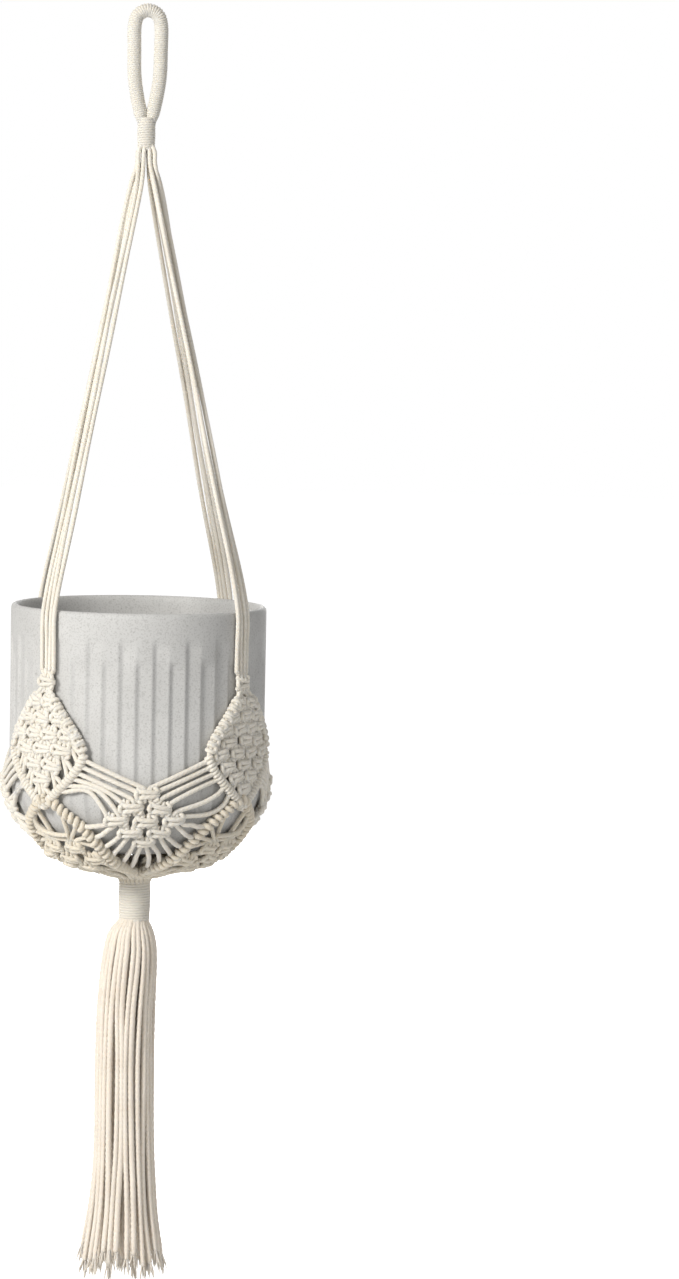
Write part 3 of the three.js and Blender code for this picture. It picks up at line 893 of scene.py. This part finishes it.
TASSEL_TOP = -630.2
TASSEL_GAP = 4.4                   # room for the tassel to swing under the gathering
TASSEL_COUNT = 14                  # strands in the outer layer, and in the middle one
TASSEL_INNER_COUNT = 20
TASSEL_TURN = 7                    # azimuth of the first strand
TASSEL_CORD = 3.6
TASSEL_MIDDLE_CORD = 4.5
FRAYS = 9                          # yarns at the end of each strand
FRAY_LENGTHS = (6, 13)
FRAY_CORD_MM = 1.15
# Distance down, distance from the middle, and the whole tassel's drift to one side.
TASSEL_ROUTE = [(0, 10.8, -1), (3, 13, -1.6), (8, 15.2, -2), (16, 17, -2.2), (30, 18.4, -3.2), (60, 19.1, -5),
                (100, 19.6, -5.2), (165, 20.2, -4.9), (190, 21.4, -4.9), (212, 23.4, -4.9), (242, 28, -4.9)]
TASSEL_SPARE = [8, 2, 11, 5, 0, 9, 4, 12, 1, 7, 10, 3, 6, 13]     # how much shorter each strand is
HIDDEN_TOP = [(-14, 7.4, 0), (-6, 8.0, 0), (-3.4, 8.9, -0.4)]      # inside the gathering, above the routes


def frayed_end(mesh, tip, along_end, rng):
    """The strand's end comes apart into thin yarns."""
    for _ in range(FRAYS):
        spread = np.array([rng.uniform(-1, 1), rng.uniform(-1, 1), 0])
        length = rng.uniform(*FRAY_LENGTHS)
        root = tip - along_end * 4 + spread * 0.9
        middle = tip + along_end * 0.4 * length + spread * 1.9
        end = tip + along_end * length + spread * rng.uniform(1.8, 3.8)
        yarn = smooth_path([root, tip + spread * 1.1, middle, end], 2.0)
        mesh.cord(yarn, FRAY_CORD_MM, sides=5, ply_depth=0.0, ends=(1, 0.35))


def tassel_strand(name, azimuth, spread, spare, rng, frays, diameter=TASSEL_CORD, node=None):
    """One strand, which wanders a little. Its spread is its distance from the middle as a share of the route."""
    full = TASSEL_ROUTE[-1][0]
    share = (full - spare) / full
    route = [(down * share, radius, drift) for down, radius, drift in TASSEL_ROUTE]
    path = []
    phase, sway = rng.uniform(0, 6.3), rng.uniform(0.1, 0.5)
    wander, reach = rng.uniform(0, 6.3), rng.uniform(1.0, 3.4)
    for down, radius, drift in HIDDEN_TOP + route:
        wave = sway * math.sin(phase + down / 19) * min(1, max(0, down) / 30)
        narrow = 1 + (spread - 1) * min(1, max(0, down + 8) / 14)
        swing = reach * (math.sin(wander + down / 31) - math.sin(wander))
        turned = azimuth + swing * min(1, max(0, down) / 60)
        at = polar(radius * narrow + wave, turned, TASSEL_TOP - TASSEL_GAP - down)
        at[0] += drift
        path.append(at)
    path = smooth_path(path, 2.0)
    mesh = CordMesh()
    mesh.cord(path, diameter, sides=12, lay=2.6, ply_depth=0.08, ends=(1, 0.85))
    tail = path[-1] - path[-4]
    frayed_end(frays, path[-1], tail / np.linalg.norm(tail), rng)
    piece = mesh.build(name, TASSEL)
    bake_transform(piece)
    if node:
        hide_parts(node)


def tassel():
    """Three layers of strands, and all their frayed yarns in one piece."""
    rng = random.Random(41)
    frays = CordMesh()
    for i in range(TASSEL_COUNT):
        azimuth = TASSEL_TURN + i * 360 / TASSEL_COUNT
        tassel_strand(f"tassel_outer_{i + 1}", azimuth, 1.0, TASSEL_SPARE[i], rng, frays,
                      node=f"tassel_strand_{i + 1}")
    for i in range(TASSEL_COUNT):
        azimuth = TASSEL_TURN + (i + 0.5) * 360 / TASSEL_COUNT + rng.uniform(-3, 3)
        tassel_strand(f"tassel_middle_{i + 1}", azimuth, 0.965, rng.uniform(0, 14), rng, frays,
                      TASSEL_MIDDLE_CORD)
    for i in range(TASSEL_INNER_COUNT):
        azimuth = i * 360 / TASSEL_INNER_COUNT + rng.uniform(-5, 5)
        spread = 0.76 if i % 2 else 0.66
        tassel_strand(f"tassel_inner_{i + 1}", azimuth, spread, rng.uniform(0, 14), rng, frays)
    piece = frays.build("tassel_frays", TASSEL)
    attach(piece, "tassel")


# ---------------------------------------------------------------- pot

FLUTES = 48
FLUTE_START = 6.3                  # degrees
FLUTE_DEPTH = 1.5
FLUTE_TOPS = (-424, -438)          # z of the tops of every other flute
FLUTE_RUN_IN = 9                   # over which a flute reaches its depth
FLUTE_FOOT = -566
FLUTE_RUN_OUT = 14
FLUTE_EDGE = 0.26                  # the crisp side's share of a flute's width
STEPS_PER_FLUTE = 12
POT_WALL_MM = 5.5


def flute_cut(turn, z):
    """How deep the wall is cut at that place: a rounded hollow with one crisp side."""
    turned = (turn - math.radians(FLUTE_START)) / (2 * math.pi) * FLUTES + FLUTES
    place = turned % 1.0
    number = turned.astype(int)
    top = np.where(number % 2 == 0, *FLUTE_TOPS)
    enter = np.clip((top - z) / FLUTE_RUN_IN, 0, 1)
    enter = enter * enter * (3 - 2 * enter)
    leave = np.clip((z - FLUTE_FOOT) / FLUTE_RUN_OUT, 0, 1)
    scallop = np.clip(place / FLUTE_EDGE, 0, 1) * (1 - place) ** 0.8 * 1.2
    return FLUTE_DEPTH * enter * leave * scallop


def pot_profile():
    """Radius and z, from the middle of the floor inside, over the lip and down to the middle underneath."""
    inner = POT_RADIUS_MM - POT_WALL_MM
    points = [(0, -571.5), (20, -571.5), (42, -571.2), (52, -570), (62, -566.5), (72, -559.5), (79, -550),
              (83, -538)]
    points += [(inner, z) for z in range(-530, -413, 6)]
    points += [(inner + 0.3, -411.5), (inner + 1.0, -409.4), (inner + 2.0, -408.4), (inner + 3.0, -408.05),
               (inner + 4.0, -408.3), (inner + 5.0, -409.3), (inner + 5.4, -410.6), (POT_RADIUS_MM, -412.2)]
    points += [(POT_RADIUS_MM, z) for z in np.arange(-414, -535, -1.5)]
    points += [tuple(p) for p in curve_to_foot(count=26)]
    points += [(54.5, -577.4), (50, -577.4), (48, -575.4), (20, -575.2), (0, -575.2)]
    return points


def pot():
    """The profile turned about the middle, with flutes cut into the outside down to the foot."""
    profile = np.array(pot_profile(), float)
    around = np.linspace(0, 2 * math.pi, FLUTES * STEPS_PER_FLUTE, endpoint=False)
    count = len(around)
    radius = profile[:, 0][:, None].repeat(count, 1)
    z = profile[:, 1]
    outside = np.arange(len(profile)) > int(np.argmax(z))
    cut = flute_cut(around[None, :].repeat(len(profile), 0), z[:, None].repeat(count, 1))
    radius -= np.where(outside[:, None] & (radius > FOOT_RADIUS_MM + 4), cut, 0)
    rows = range(1, len(profile) - 1)
    verts = []
    for i in rows:
        ring = [radius[i] * np.sin(around), -radius[i] * np.cos(around), np.full(count, z[i])]
        verts += np.stack(ring, axis=1).tolist()
    faces = []
    for i in range(len(rows) - 1):
        a, b = i * count, (i + 1) * count
        faces += [(a + j, a + (j + 1) % count, b + (j + 1) % count, b + j) for j in range(count)]
    inside, under = len(verts), len(verts) + 1
    verts += [[0, 0, z[0]], [0, 0, z[-1]]]
    last = (len(rows) - 1) * count
    faces += [(inside, (j + 1) % count, j) for j in range(count)]
    faces += [(under, last + j, last + (j + 1) % count) for j in range(count)]
    mesh = bpy.data.meshes.new("fluted_pot")
    mesh.from_pydata((np.array(verts) * MM).tolist(), [], faces)
    mesh.shade_smooth()
    mesh.materials.append(STONEWARE)
    piece = placed_object("fluted_pot", mesh)
    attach(piece, "pot")
    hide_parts("pot")


# ---------------------------------------------------------------- everything in place

for side, azimuth in STRAP_AZIMUTHS.items():
    for cord in range(4):
        strap_cord(side, azimuth, cord)
tassel()
wrapped_eye()
wrapped_collar("upper_wrap", "upper_collar", "neck", **UPPER_COLLAR)
wrapped_collar("lower_wrap", "lower_collar", "gathering", **LOWER_COLLAR)
knot_rng = random.Random(7)
for i, (side, azimuth) in enumerate(STRAP_AZIMUTHS.items()):
    strap_knot(side, azimuth)
    upper_panel(side, knot_rng)
    before = FAN_AZIMUTHS[i - 1] - (360 if i == 0 else 0)
    link_group(side, panel_azimuth(side), BETWEEN[i], FAN_AZIMUTHS[i])
    link_group(side, panel_azimuth(side), BETWEEN[i - 1], before)
    gore(side, azimuth, before, FAN_AZIMUTHS[i], knot_rng)
    lower_panel(BETWEEN[i], FAN_AZIMUTHS[i], azimuth, ALL_ROUND[i + 1], knot_rng)
hub()
pot()
